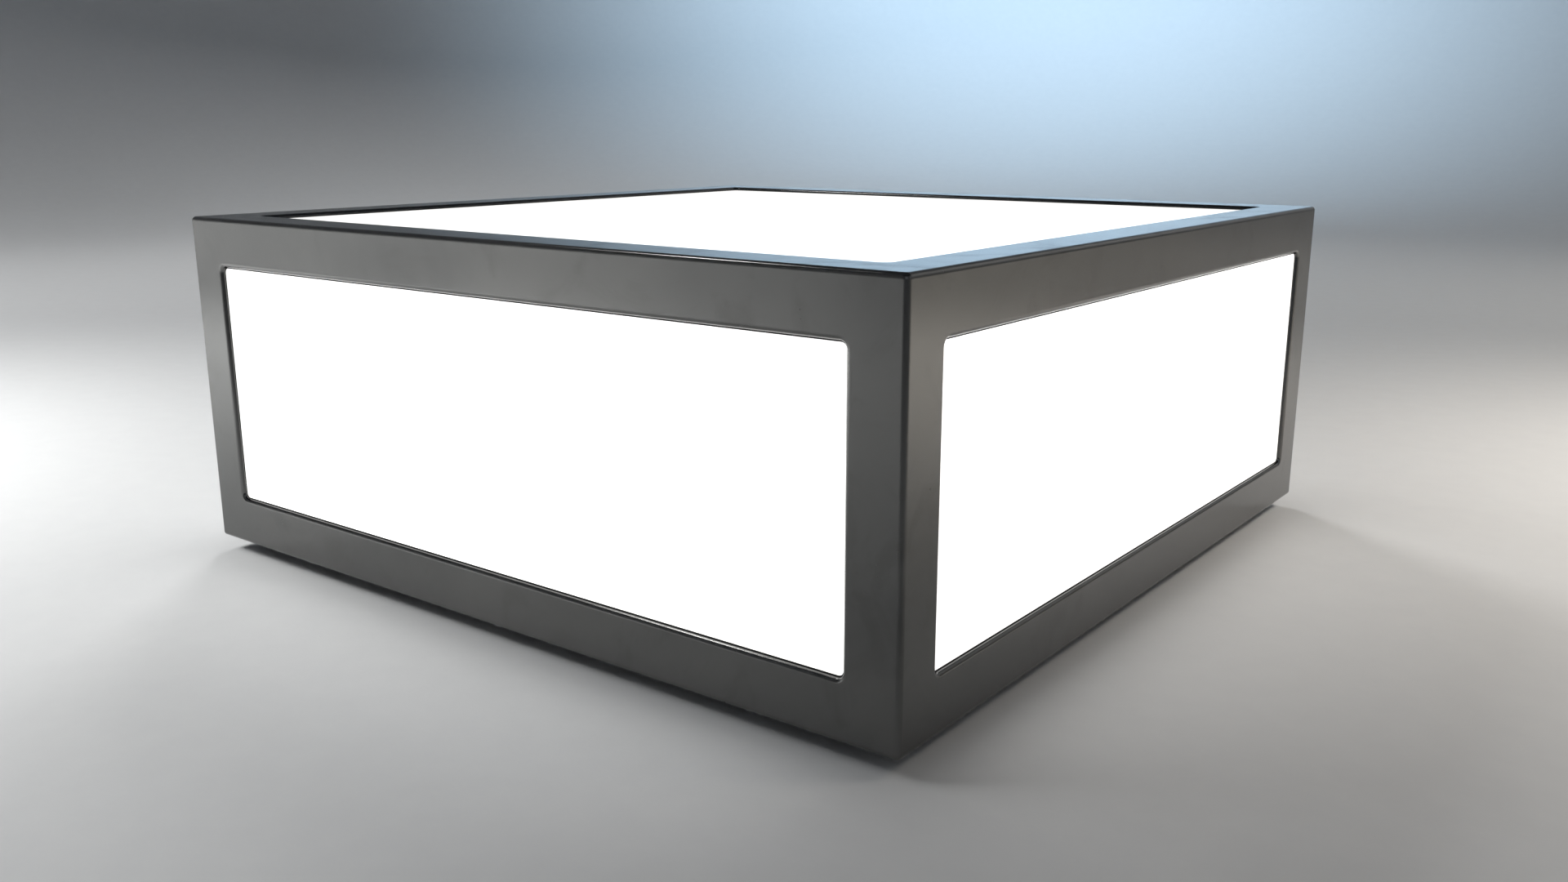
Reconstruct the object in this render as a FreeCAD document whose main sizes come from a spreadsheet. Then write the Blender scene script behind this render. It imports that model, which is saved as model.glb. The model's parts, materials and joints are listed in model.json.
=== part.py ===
import FreeCAD, Part
import math
import os
import Sketcher

os.makedirs("parts", exist_ok=True)

# Free-standing square light box: a welded steel cage with five opal acrylic panels, lit from a
# central LED carrier.  Millimetres, +Z up, the origin on the floor under the middle of the box.
# Front is -Y, right is +X; the service door is in the +Y side, the mains inlet in the -X side.
doc = FreeCAD.newDocument("light_box_sign")
V = FreeCAD.Vector

# ---------------------------------------------------------------- driving dimensions
SIZES = [
    ("side", 600, "outer side of the square plan"),
    ("bodyht", 236, "height of the box without its feet"),
    ("footht", 10, "floor to the underside of the shell"),
    ("wall", 2, "sheet of the shell and of the door"),
    ("edgerad", 3, "outer edges of the shell"),
    ("ringht", 42, "height of the cage's top and bottom rings"),
    ("openin", 34, "face edge to the clear opening of a window"),
    ("liprad", 3, "rolled edge of a window"),
    ("lipdepth", 4, "outer face to the flange of a panel"),
    ("paneldepth", 3, "outer face to the raised front of a panel"),
    ("lipend", 3.2, "outer face to the end of the window lip"),
    ("lipwall", 2, "thickness of the window lip"),
    ("winrad", 4, "corner radius of a window"),
    ("panelin", 26.5, "face edge to the edge of an opal panel"),
    ("panelthk", 3, "thickness of an opal panel's flange"),
    ("gasketout", 27, "face edge to the outside of a gasket"),
    ("gasketin", 31.5, "face edge to the inside of a gasket"),
    ("beadin", 34.7, "face edge to the inside of a gasket's bead, which shows as a black line round the panel"),
    ("beaddepth", 2.9, "outer face to the front of a gasket's bead"),
    ("clampout", 15, "face edge to the outside of a clamp frame"),
    ("clampin", 34, "face edge to the inside of a clamp frame"),
    ("clampthk", 1.5, "thickness of a clamp frame"),
    ("studin", 21, "face edge to the clamp studs"),
    ("studdia", 3, "clamp studs"),
    ("studend", 12, "outer face to the end of a clamp stud"),
    ("studhole", 3.4, "stud holes of a clamp frame"),
    ("nutflats", 5.5, "clamp nuts across flats"),
    ("nutht", 2.4, "height of a clamp nut"),
    ("flange", 20, "width of the return flange under the shell"),
    ("doorband", 8, "face edge to the door opening"),
    ("doorgap", 1, "gap round the door"),
    ("doorlip", 8, "depth of the fold round the door"),
    ("jambend", 14, "outer face to the back of the door ledge"),
    ("ledgein", 13, "face edge to the inside of the door ledge"),
    ("pivotin", 14, "face edge to the door's pivot axis"),
    ("pivotdepth", 4.5, "outer face to the door's pivot axis"),
    ("pindia", 3, "hinge pins"),
    ("latchin", 19.5, "face edge to the latch axes"),
    ("latchup", 47, "latch axes above and below the middle of the door"),
    ("basein", 8, "face edge to the edge of the base plate"),
    ("basethk", 1.5, "thickness of the base plate"),
    ("screwin", 11, "face edge to the base screws"),
    ("footin", 75, "face edge to the foot axes"),
    ("footdia", 40, "rubber feet"),
    ("carrier", 300, "side of the LED carrier"),
    ("carrierht", 90, "height of the LED carrier"),
    ("carrierthk", 1.5, "sheet of the LED carrier"),
    ("carrierlip", 15, "width of the LED carrier's flange"),
    ("boardlen", 280, "length of an LED board"),
    ("boardwid", 20, "width of an LED board"),
    ("boardthk", 1.6, "thickness of an LED board"),
    ("lensrad", 6, "LED lens"),
    ("inlety", 230, "mains inlet from the middle of the left side"),
    ("switchy", 130, "switch from the middle of the left side"),
    ("inletup", 15, "shell's underside to the inlet and switch axes"),
]
sheet = doc.addObject("Spreadsheet::Sheet", "Params")
for i, (alias, number, note) in enumerate(SIZES, start=1):
    sheet.set("A%d" % i, note)
    sheet.set("B%d" % i, str(number))
    sheet.setAlias("B%d" % i, alias)
doc.recompute()


class Dim:
    """A size: the sheet expression that drives it, and its present value."""

    def __init__(self, text, value):
        self.text, self.value = text, float(value)

    def __add__(self, o):
        return join(self, o, "+", self.value + dim(o).value)

    def __radd__(self, o):
        return join(o, self, "+", dim(o).value + self.value)

    def __sub__(self, o):
        return join(self, o, "-", self.value - dim(o).value)

    def __rsub__(self, o):
        return join(o, self, "-", dim(o).value - self.value)

    def __mul__(self, o):
        return join(self, o, "*", self.value * dim(o).value)

    def __rmul__(self, o):
        return join(o, self, "*", dim(o).value * self.value)

    def __truediv__(self, o):
        return join(self, o, "/", self.value / dim(o).value)

    def __neg__(self):
        return Dim("(0 - %s)" % self.text, -self.value)


def dim(v):
    return v if isinstance(v, Dim) else Dim("%.6f" % v if v >= 0 else "(0 - %.6f)" % -v, v)


def join(a, b, sign, value):
    return Dim("(%s %s %s)" % (dim(a).text, sign, dim(b).text), value)


P = {alias: Dim("Params." + alias, getattr(sheet, alias)) for alias, _, _ in SIZES}
side, bodyht, footht, wall = P["side"], P["bodyht"], P["footht"], P["wall"]
half = side / 2
floor0 = footht  # the shell's underside
midz = footht + bodyht / 2
topz = footht + bodyht


def bind(obj, prop, size):
    size = dim(size)
    obj.setExpression(prop, size.text)


# ---------------------------------------------------------------- PartDesign helpers
def origin_plane(body, role):
    return [f for f in body.Origin.OriginFeatures if f.Role == role][0]


def new_body(label):
    body = doc.addObject("PartDesign::Body", label)
    body.Label = label
    return body


def new_sketch(body, name, role, off):
    sk = body.newObject("Sketcher::SketchObject", name)
    sk.AttachmentSupport = [(origin_plane(body, role), "")]
    sk.MapMode = "FlatFace"
    for axis, size in zip("xyz", off):
        bind(sk, "AttachmentOffset.Base." + axis, size)
    return sk


def rounded_rect(body, name, role, wid, hgt, rad, off):
    """A rectangle with rounded corners, centred on the sketch's own origin."""
    wid, hgt, rad = dim(wid), dim(hgt), dim(rad)
    sk = new_sketch(body, name, role, off)
    a, b, r = wid.value / 2, hgt.value / 2, rad.value
    line = lambda x0, y0, x1, y1: Part.LineSegment(V(x0, y0, 0), V(x1, y1, 0))
    arc = lambda x, y, q: Part.ArcOfCircle(
        Part.Circle(V(x, y, 0), V(0, 0, 1), r), q * math.pi / 2, (q + 1) * math.pi / 2
    )
    sk.addGeometry(
        [
            line(-a + r, -b, a - r, -b),
            arc(a - r, -b + r, 3),
            line(a, -b + r, a, b - r),
            arc(a - r, b - r, 0),
            line(a - r, b, -a + r, b),
            arc(-a + r, b - r, 1),
            line(-a, b - r, -a, -b + r),
            arc(-a + r, -b + r, 2),
        ],
        False,
    )
    C = Sketcher.Constraint
    cons = []
    for n in range(8):
        # arcs run anticlockwise, so each piece starts where the last one ends
        cons.append(C("Tangent", n, 2, (n + 1) % 8, 1))
    for n in (0, 4):
        cons.append(C("Horizontal", n))
    for n in (2, 6):
        cons.append(C("Vertical", n))
    for n in (3, 5, 7):
        cons.append(C("Equal", 1, n))
    cons.append(C("Symmetric", 1, 3, 5, 3, -1, 1))
    sk.addConstraint(cons)
    for kind, args, size, label in (
        ("DistanceX", (6, 1, 2, 1), wid, "wide"),
        ("DistanceY", (0, 1, 4, 1), hgt, "tall"),
        ("Radius", (1,), rad, "corner"),
    ):
        n = sk.addConstraint(C(kind, *args, size.value))
        sk.renameConstraint(n, label)
        bind(sk, "Constraints." + label, size)
    return sk


def sharp_rect(body, name, role, wid, hgt, off):
    """A plain rectangle, centred on the sketch's own origin."""
    wid, hgt = dim(wid), dim(hgt)
    sk = new_sketch(body, name, role, off)
    a, b = wid.value / 2, hgt.value / 2
    pts = [(-a, -b), (a, -b), (a, b), (-a, b)]
    sk.addGeometry(
        [
            Part.LineSegment(V(*pts[i], 0), V(*pts[(i + 1) % 4], 0))
            for i in range(4)
        ],
        False,
    )
    C = Sketcher.Constraint
    sk.addConstraint(
        [C("Coincident", i, 2, (i + 1) % 4, 1) for i in range(4)]
        + [C("Horizontal", 0), C("Horizontal", 2), C("Vertical", 1), C("Vertical", 3)]
        + [C("Symmetric", 0, 1, 2, 1, -1, 1)]
    )
    for kind, args, size, label in (
        ("DistanceX", (0, 1, 0, 2), wid, "wide"),
        ("DistanceY", (1, 1, 1, 2), hgt, "tall"),
    ):
        n = sk.addConstraint(C(kind, *args, size.value))
        sk.renameConstraint(n, label)
        bind(sk, "Constraints." + label, size)
    return sk


def circles(body, name, role, centres, rad, off):
    """Equal circles at given places, their radius driven by the sheet."""
    rad = dim(rad)
    sk = new_sketch(body, name, role, off)
    C = Sketcher.Constraint
    for x, y in centres:
        sk.addGeometry(Part.Circle(V(x, y, 0), V(0, 0, 1), rad.value), False)
    for n, (x, y) in enumerate(centres):
        sk.addConstraint(C("DistanceX", -1, 1, n, 3, x) if abs(x) > 1e-9 else C("PointOnObject", n, 3, -2))
        sk.addConstraint(C("DistanceY", -1, 1, n, 3, y) if abs(y) > 1e-9 else C("PointOnObject", n, 3, -1))
        if n:
            sk.addConstraint(C("Equal", 0, n))
    n = sk.addConstraint(C("Radius", 0, rad.value))
    sk.renameConstraint(n, "bore")
    bind(sk, "Constraints.bore", rad)
    return sk


def pad(body, name, sketch, length):
    f = body.newObject("PartDesign::Pad", name)
    f.Profile = sketch
    bind(f, "Length", length)
    return f


def pocket(body, name, sketch, length, flip=False):
    """Cuts and makes sure that something was really removed."""
    doc.recompute()
    before = body.Shape.Volume
    f = body.newObject("PartDesign::Pocket", name)
    f.Profile = sketch
    bind(f, "Length", length)
    f.Reversed = flip
    doc.recompute()
    if not body.Shape.Volume < before - 1e-3:
        raise RuntimeError("%s of %s removes nothing" % (name, body.Label))
    return f


def fillet(body, name, radius, pick):
    doc.recompute()
    base = body.Tip
    names = ["Edge%d" % (i + 1) for i, e in enumerate(base.Shape.Edges) if pick(e)]
    if not names:
        raise RuntimeError("%s of %s finds no edge" % (name, body.Label))
    f = body.newObject("PartDesign::Fillet", name)
    f.Base = (base, names)
    bind(f, "Radius", radius)
    doc.recompute()
    return f


# Each lit side, as the plane its pieces are sketched on.  Depth runs inwards from the outer face.
FACES = {
    "front": ("XZ_Plane", 1),
    "right": ("YZ_Plane", 1),
    "top": ("XY_Plane", 1),
    "left": ("YZ_Plane", -1),
    "rear": ("XZ_Plane", -1),
}


def face_place(face, depth, ex=0.0, ey=0.0):
    role, sign = FACES[face]
    if face == "top":
        return role, (dim(ex), dim(ey), topz - depth)
    z = half - depth if sign > 0 else depth - half
    return role, (dim(ex), midz + ey, z)


def face_size(face, inset):
    return side - 2 * dim(inset), (side if face == "top" else bodyht) - 2 * dim(inset)


def face_slab(body, name, face, d0, d1, inset, rad, ex=0.0):
    """Adds a rounded slab between two depths of a face."""
    d0, d1 = dim(d0), dim(d1)
    role, off = face_place(face, d1 if FACES[face][1] > 0 else d0)
    w, g = face_size(face, inset)
    return pad(body, name, rounded_rect(body, name + "_sketch", role, w, g, rad, off), d1 - d0)


def face_cut(body, name, face, d0, d1, inset, rad):
    """Cuts a rounded window between two depths of a face."""
    d0, d1 = dim(d0), dim(d1)
    role, off = face_place(face, d0)
    w, g = face_size(face, inset)
    return pocket(
        body, name, rounded_rect(body, name + "_sketch", role, w, g, rad, off), d1 - d0, FACES[face][1] < 0
    )


def face_holes(body, name, face, d0, d1, centres, rad):
    d0, d1 = dim(d0), dim(d1)
    role, off = face_place(face, d0)
    return pocket(body, name, circles(body, name + "_sketch", role, centres, rad, off), d1 - d0, FACES[face][1] < 0)


def local(face, p):
    """A point as (along, across, depth) of a face."""
    h, mz = half.value, midz.value
    return {
        "front": (p.x, p.z - mz, p.y + h),
        "rear": (p.x, p.z - mz, h - p.y),
        "left": (p.y, p.z - mz, p.x + h),
        "right": (p.y, p.z - mz, h - p.x),
        "top": (p.x, p.y, topz.value - p.z),
    }[face]


def world(face, u, w, d):
    h, mz = half.value, midz.value
    return {
        "front": V(u, d - h, mz + w),
        "rear": V(u, h - d, mz + w),
        "left": V(d - h, u, mz + w),
        "right": V(h - d, u, mz + w),
        "top": V(u, w, topz.value - d),
    }[face]


INWARD = {"front": V(0, 1, 0), "rear": V(0, -1, 0), "left": V(1, 0, 0), "right": V(-1, 0, 0), "top": V(0, 0, -1)}


def rim(face, depth, inset):
    """Picks the edges that lie in one plane of a face, no further out than an inset."""
    hu = half.value - inset + 0.01
    hw = (half.value if face == "top" else bodyht.value / 2) - inset + 0.01

    def pick(e):
        for t in (0.0, 0.33, 0.66, 1.0):
            a, b = e.ParameterRange
            u, w, d = local(face, e.valueAt(a + (b - a) * t))
            if abs(d - depth) > 1e-4 or abs(u) > hu or abs(w) > hw:
                return False
        return True

    return pick


# ---------------------------------------------------------------- Part helpers
def box(label, lo, size):
    o = doc.addObject("Part::Box", label)
    o.Label = label
    for prop, v in zip(("Length", "Width", "Height"), size):
        bind(o, prop, v)
    for prop, v in zip("xyz", lo):
        bind(o, ".Placement.Base." + prop, v)
    return o


def cyl(label, at, rad, length, axis=V(0, 0, 1)):
    o = doc.addObject("Part::Cylinder", label)
    o.Label = label
    bind(o, "Radius", rad)
    bind(o, "Height", length)
    o.Placement = FreeCAD.Placement(V(*[dim(v).value for v in at]), FreeCAD.Rotation(V(0, 0, 1), axis))
    return o


def hexagon(label, at, flats, length):
    o = doc.addObject("Part::Prism", label)
    o.Label = label
    o.Polygon = 6
    bind(o, "Circumradius", dim(flats) / (2 * math.cos(math.pi / 6)))
    bind(o, "Height", length)
    o.Placement.Base = V(*at)
    return o


def cut(label, base, tool):
    o = doc.addObject("Part::Cut", label)
    o.Label = label
    o.Base, o.Tool = base, tool
    return o


def fuse(label, *shapes):
    o = doc.addObject("Part::MultiFuse", label)
    o.Label = label
    o.Shapes = list(shapes)
    o.Refine = True
    return o


def common(label, a, b):
    o = doc.addObject("Part::Common", label)
    o.Label = label
    o.Base, o.Tool = a, b
    return o


def rounded(label, base, radius, pick):
    """A Part fillet on the picked edges."""
    doc.recompute()
    o = doc.addObject("Part::Fillet", label)
    o.Label = label
    o.Base = base
    o.Edges = [(i + 1, radius, radius) for i, e in enumerate(base.Shape.Edges) if pick(e)]
    doc.recompute()
    return o


def group(label, placed):
    """Separate solids kept together: (object, point, direction of its +Z, turn about it)."""
    links = []
    for n, (obj, at, axis, turn) in enumerate(placed):
        link = doc.addObject("App::Link", "%s_%d" % (label, n))
        link.LinkedObject = obj
        rot = FreeCAD.Rotation(V(0, 0, 1), axis).multiply(FreeCAD.Rotation(V(0, 0, 1), turn))
        link.LinkPlacement = FreeCAD.Placement(at, rot)
        links.append(link)
    o = doc.addObject("Part::Compound", label)
    o.Label = label
    o.Links = links
    return o


def screw(label, rad, length, headrad, headht):
    """A cross-recess pan-head screw: the seat of its head at 0, its shank down -Z."""
    shank = cyl(label + "_shank", (0, 0, -length), rad, length)
    head = cyl(label + "_head", (0, 0, 0), headrad, headht)
    top = lambda e: all(abs(v.Point.z - headht) < 1e-6 for v in e.Vertexes)
    domed = rounded(label + "_dome", head, headht * 0.45, top)
    w, l = headrad * 0.24, headrad * 1.15
    a = box(label + "_slot1", (-l / 2, -w / 2, headht * 0.45), (l, w, headht))
    b = box(label + "_slot2", (-w / 2, -l / 2, headht * 0.45), (w, l, headht))
    both = fuse(label + "_whole", shank, domed)
    return cut(label + "_screw", both, fuse(label + "_cross", a, b))


def ring_nut(label, flats, height, bore):
    return cut(label + "_nut", hexagon(label + "_hex", (0, 0, 0), flats, height), cyl(label + "_bore", (0, 0, -1), bore, height + 2))


def tube(points, rad):
    """A lead: straight runs joined by tangent arcs, as round as their runs allow."""
    pts = [V(*p) for p in points]
    edges, at, total = [], pts[0], 0.0
    for i in range(1, len(pts) - 1):
        a, b = pts[i - 1] - pts[i], pts[i + 1] - pts[i]
        run = min(a.Length, b.Length)
        a.normalize()
        b.normalize()
        back = 0.45 * run
        p, q = pts[i] + a * back, pts[i] + b * back
        turn = math.pi - a.getAngle(b)
        radius = back / math.tan(turn / 2)
        mid_dir = (a + b)
        mid_dir.normalize()
        centre = pts[i] + mid_dir * (radius / math.cos(turn / 2))
        m = centre - mid_dir * radius
        if (p - at).Length > 1e-6:
            edges.append(Part.LineSegment(at, p).toShape())
        edges.append(Part.Arc(p, m, q).toShape())
        at = q
    edges.append(Part.LineSegment(at, pts[-1]).toShape())
    path = Part.Wire(edges)
    start = (pts[1] - pts[0]).normalize()
    section = Part.Wire([Part.Circle(pts[0], start, rad).toShape()])
    solid = path.makePipeShell([section], True, True)
    want = math.pi * rad * rad * path.Length
    if abs(solid.Volume - want) > 0.02 * want:
        raise RuntimeError("a lead's volume is off")
    return solid


# ---------------------------------------------------------------- the steel shell
PANELS = ["front", "left", "right", "top"]
shell = new_body("cage_stock")
pad(shell, "block", sharp_rect(shell, "plan", "XY_Plane", side, side, (0, 0, floor0)), bodyht)
fillet(shell, "outer_edges", P["edgerad"], lambda e: True)
pocket(
    shell,
    "cavity",
    sharp_rect(shell, "cavity_plan", "XY_Plane", side - 2 * wall, side - 2 * wall, (0, 0, floor0 + wall)),
    bodyht - 2 * wall,
    True,
)
pocket(
    shell,
    "underside",
    rounded_rect(shell, "underside_plan", "XY_Plane", side - 2 * P["flange"], side - 2 * P["flange"], 6, (0, 0, floor0 - 1)),
    wall + 1.5,
    True,
)
for face in PANELS:
    face_slab(shell, face + "_lip", face, wall, P["lipend"], P["openin"] - P["lipwall"], P["winrad"] + P["lipwall"])
face_slab(shell, "jamb", "rear", wall, P["jambend"], P["doorband"] - wall, 6)
for face in PANELS:
    face_cut(shell, face + "_window", face, 0, P["lipdepth"] + 1, P["openin"], P["winrad"])
face_cut(shell, "door_opening", "rear", 0, P["jambend"] - wall, P["doorband"], 4)
face_cut(shell, "door_ledge", "rear", 0, P["jambend"] + 1, P["ledgein"], 3)
for face in PANELS:
    fillet(shell, face + "_rolled_edge", P["liprad"], rim(face, 0, P["openin"].value))
fillet(shell, "door_opening_edge", 0.8, rim("rear", 0, P["doorband"].value))

iz = P["inletup"] - bodyht / 2  # inlet and switch axes, from the middle of the side
for name, ypos, w, g in (("inlet", P["inlety"], 27.2, 20.0), ("switch", P["switchy"], 19.2, 12.9)):
    role, off = face_place("left", 0, ypos, iz)
    pocket(shell, name + "_cutout", rounded_rect(shell, name + "_cutout_sketch", role, w, g, 0.3, off), wall + 1, True)

h = half.value
run3 = (-200.0, 0.0, 200.0)
si = h - P["screwin"].value
base_screw_at = [(x, y) for y in (-si, si) for x in run3] + [(x, y) for x in (-si, si) for y in run3]
pocket(
    shell,
    "rivet_nut_holes",
    circles(shell, "rivet_nut_holes_sketch", "XY_Plane", base_screw_at, 3, (0, 0, floor0 - 0.5)),
    wall + 1,
    True,
)
px, py = -(h - P["pivotin"].value), h - P["pivotdepth"].value
pin_r = P["pindia"] / 2
for name, z in (("lower", floor0 + P["doorband"] - wall - 0.5), ("upper", topz - P["doorband"] - 0.5)):
    pocket(shell, name + "_pin_hole", circles(shell, name + "_pin_hole_sketch", "XY_Plane", [(px, py)], pin_r, (0, 0, z)), wall + 1, True)

# The cage is a top ring and a bottom ring of folded rails, with four corner posts butt-welded
# between them and every weld ground flush.
def storey(label, z0, z1):
    block = doc.addObject("Part::Box", label + "_storey")
    for prop, size in (("Length", side + 20), ("Width", side + 20), ("Height", z1 - z0)):
        bind(block, prop, size)
    bind(block, "Placement.Base.x", -(half + 10))
    bind(block, "Placement.Base.y", -(half + 10))
    bind(block, "Placement.Base.z", z0)
    return common(label, shell, block)


storey("top_ring", topz - P["ringht"], topz + 5)
storey("corner_posts", floor0 + P["ringht"], topz - P["ringht"])
storey("bottom_ring", floor0 - 5, floor0 + P["ringht"])

# ---------------------------------------------------------------- panels, gaskets, clamp frames
def stud_places(face):
    s = P["studin"].value
    a = h - s
    if face == "top":
        return [(x, w) for w in (-a, a) for x in (-180.0, 0.0, 180.0)] + [(w, y) for w in (-a, a) for y in (-180.0, 0.0, 180.0)]
    b = bodyht.value / 2 - s
    return [(x, w) for w in (-b, b) for x in (-180.0, 0.0, 180.0)] + [(-a, 0.0), (a, 0.0)]


lipd, pthk, cthk = P["lipdepth"], P["panelthk"], P["clampthk"]
back = lipd + pthk  # depth of a panel's back
for face in PANELS + ["rear"]:
    b = new_body(face + "_diffuser")
    face_slab(b, "sheet", face, lipd, back, P["panelin"], 4)
    fillet(b, "polished_edge", 0.4, lambda e: rim(face, lipd.value, P["panelin"].value)(e) or rim(face, back.value, P["panelin"].value)(e))
    face_slab(b, "raised_front", face, P["paneldepth"], lipd, P["beadin"], P["winrad"] - 0.7)
    b = new_body(face + "_gasket")
    face_slab(b, "strip", face, wall, lipd, P["gasketout"], 5)
    face_cut(b, "strip_inside", face, wall, P["lipend"], P["gasketin"], P["winrad"] + 2.5)
    face_slab(b, "bead", face, P["beaddepth"], P["lipend"], P["openin"], P["winrad"])
    face_cut(b, "bead_inside", face, P["beaddepth"], lipd, P["beadin"], P["winrad"] - 0.7)
    b = new_body(face + "_clamp_frame")
    face_slab(b, "bar", face, back, back + cthk, P["clampout"], 4)
    face_cut(b, "bar_inside", face, back, back + cthk, P["clampin"], 9)
    face_holes(b, "stud_holes", face, back, back + cthk, stud_places(face), P["studhole"] / 2)
    if face == "left":
        # room for the inlet and the switch below the panel
        for name, ypos, w in (("inlet", P["inlety"], 36), ("switch", P["switchy"], 28)):
            role, off = face_place("left", back, ypos, P["clampout"] - bodyht / 2 + 4)
            pocket(b, name + "_notch", sharp_rect(b, name + "_notch_sketch", role, w, 16, off), cthk, True)
    if face == "rear":
        lx = h - P["latchin"].value
        lw = P["latchup"].value
        face_holes(b, "latch_notches", face, back, back + cthk, [(lx, -lw), (lx, lw)], 6)

stud_len = P["studend"] - wall
stud = cyl("stud_blank", (0, 0, 0), P["studdia"] / 2, stud_len)
stud_foot = cyl("stud_foot_blank", (0, 0, 0), P["studdia"] / 2 + 0.75, 0.6)
weld_stud = fuse("stud_piece", stud, stud_foot)
nut = ring_nut("m3", P["nutflats"], P["nutht"], P["studdia"] / 2)
placed_studs = {f: [(world(f, u, w, wall.value), INWARD[f]) for u, w in stud_places(f)] for f in PANELS + ["rear"]}
group("weld_studs", [(weld_stud, p, d, 0) for f in PANELS for p, d in placed_studs[f]])
group("door_studs", [(weld_stud, p, d, 0) for p, d in placed_studs["rear"]])
nutd = (back + cthk).value
group("clamp_nuts", [(nut, world(f, u, w, nutd), INWARD[f], 11 * n) for f in PANELS for n, (u, w) in enumerate(stud_places(f))])
group("door_clamp_nuts", [(nut, world("rear", u, w, nutd), INWARD["rear"], 13 * n) for n, (u, w) in enumerate(stud_places("rear"))])

# ---------------------------------------------------------------- service door
door = new_body("door_frame")
dgap = P["doorband"] + P["doorgap"]
face_slab(door, "leaf", "rear", 0, P["doorlip"], dgap, 3.5)
fillet(door, "leaf_edge", P["edgerad"], rim("rear", 0, dgap.value))
face_cut_back = ("rear", wall, P["doorlip"] + 1, dgap + wall)
face_cut(door, "leaf_inside", *face_cut_back, 2)
face_slab(door, "window_lip", "rear", wall, P["lipend"], P["openin"] - P["lipwall"], P["winrad"] + P["lipwall"])
face_cut(door, "window", "rear", 0, lipd + 1, P["openin"], P["winrad"])
fillet(door, "window_rolled_edge", P["liprad"], rim("rear", 0, P["openin"].value))
face_holes(door, "latch_holes", "rear", 0, wall + 0.5, [(lx, -lw), (lx, lw)], 5.5)
bush_r = 2.2
for name, z in (("lower", floor0 + dgap - 0.5), ("upper", topz - dgap - wall - 0.5)):
    pocket(door, name + "_bush_hole", circles(door, name + "_bush_hole_sketch", "XY_Plane", [(px, py)], bush_r, (0, 0, z)), wall + 1, True)

# Pivot pins: riveted in the jamb, running in flanged nylon bushes in the door's folds.
pin_len = 11.0
pin = fuse("pin_piece", cyl("pin_shank", (0, 0, 0), pin_r, pin_len), cyl("pin_head", (0, 0, -1), 2.4, 1))
zl = (floor0 + P["doorband"] - wall).value
zu = (topz - P["doorband"] + wall).value
group("hinge_pins", [(pin, V(px, py, zl), V(0, 0, 1), 0), (pin, V(px, py, zu), V(0, 0, -1), 0)])
bush = cut(
    "bush_piece",
    fuse("bush_whole", cyl("bush_sleeve", (0, 0, 0), bush_r, wall), cyl("bush_flange", (0, 0, -0.9), 2.7, 0.9)),
    cyl("bush_bore", (0, 0, -2), pin_r + 0.05, 8),
)
group(
    "hinge_bushes",
    [(bush, V(px, py, (floor0 + dgap).value), V(0, 0, 1), 0), (bush, V(px, py, (topz - dgap).value), V(0, 0, -1), 0)],
)
# Foam seal on the ledge, on the three sides away from the pivots.
sy0, sy1 = half - P["jambend"] + wall, half - P["doorlip"]
seal_gap, seal_w = 0.6, 4.0
sx0, sx1 = px + 8, half - dgap - seal_gap
seal = [
    box("seal_bottom", (sx0, sy0, floor0 + dgap + seal_gap), (sx1 - sx0, sy1 - sy0, seal_w)),
    box("seal_top", (sx0, sy0, topz - dgap - seal_gap - seal_w), (sx1 - sx0, sy1 - sy0, seal_w)),
    box("seal_side", (sx1 - seal_w, sy0, floor0 + dgap + seal_gap), (seal_w, sy1 - sy0, bodyht - 2 * dgap - 2 * seal_gap)),
]
fuse("door_seal", *seal)

# Quarter-turn latches: a bush in the leaf, a slotted core and a cam that reaches behind the ledge.
lbush = cut(
    "latch_bush_piece",
    fuse("latch_bush_whole", cyl("latch_sleeve", (0, 0, -10), 5.5, 10), cyl("latch_collar", (0, 0, 0), 7.5, 1.2)),
    cyl("latch_bore", (0, 0, -12), 3.05, 16),
)
OUT = V(0, 1, 0)
latch_at = {"upper": V(lx, h, midz.value + lw), "lower": V(lx, h, midz.value - lw)}
group("latch_bushes", [(lbush, p, OUT, 0) for p in latch_at.values()])
core_body = fuse(
    "core_whole", cyl("core_shaft", (0, 0, -15.5), 3, 16.7), cyl("core_head", (0, 0, 1.25), 6, 1.5), cyl("core_neck", (0, 0, 1.2), 3, 0.05),
    cyl("core_tip", (0, 0, -19), 2, 3.5)
)
slot = box("core_slot", (-0.8, -8, 1.75), (1.6, 16, 2))
core = cut("core_piece", core_body, slot)
cam_bar = fuse("cam_bar_whole", box("cam_bar", (-4.5, 0, -17.5), (9, 6, 2)), cyl("cam_round", (0, 0, -17.5), 4.5, 2), cyl("cam_nose", (0, 6, -17.5), 4.5, 2))
cam = cut("cam_piece", cam_bar, cyl("cam_hole", (0, 0, -18), 2, 3))
for name, p in latch_at.items():
    # local +Y of the core points down (-Z of the box) at rest, so the cam hangs clear of the ledge
    rot = FreeCAD.Rotation(V(-1, 0, 0), V(0, 0, -1), V(0, 1, 0), "ZYX")
    for piece, src in (("latch_core", core), ("latch_cam", cam)):
        link = doc.addObject("App::Link", "%s_%s_link" % (name, piece))
        link.LinkedObject = src
        link.LinkPlacement = FreeCAD.Placement(p, rot)
        o = doc.addObject("Part::Compound", "%s_%s" % (name, piece))
        o.Label = "%s_%s" % (name, piece)
        o.Links = [link]

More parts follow.
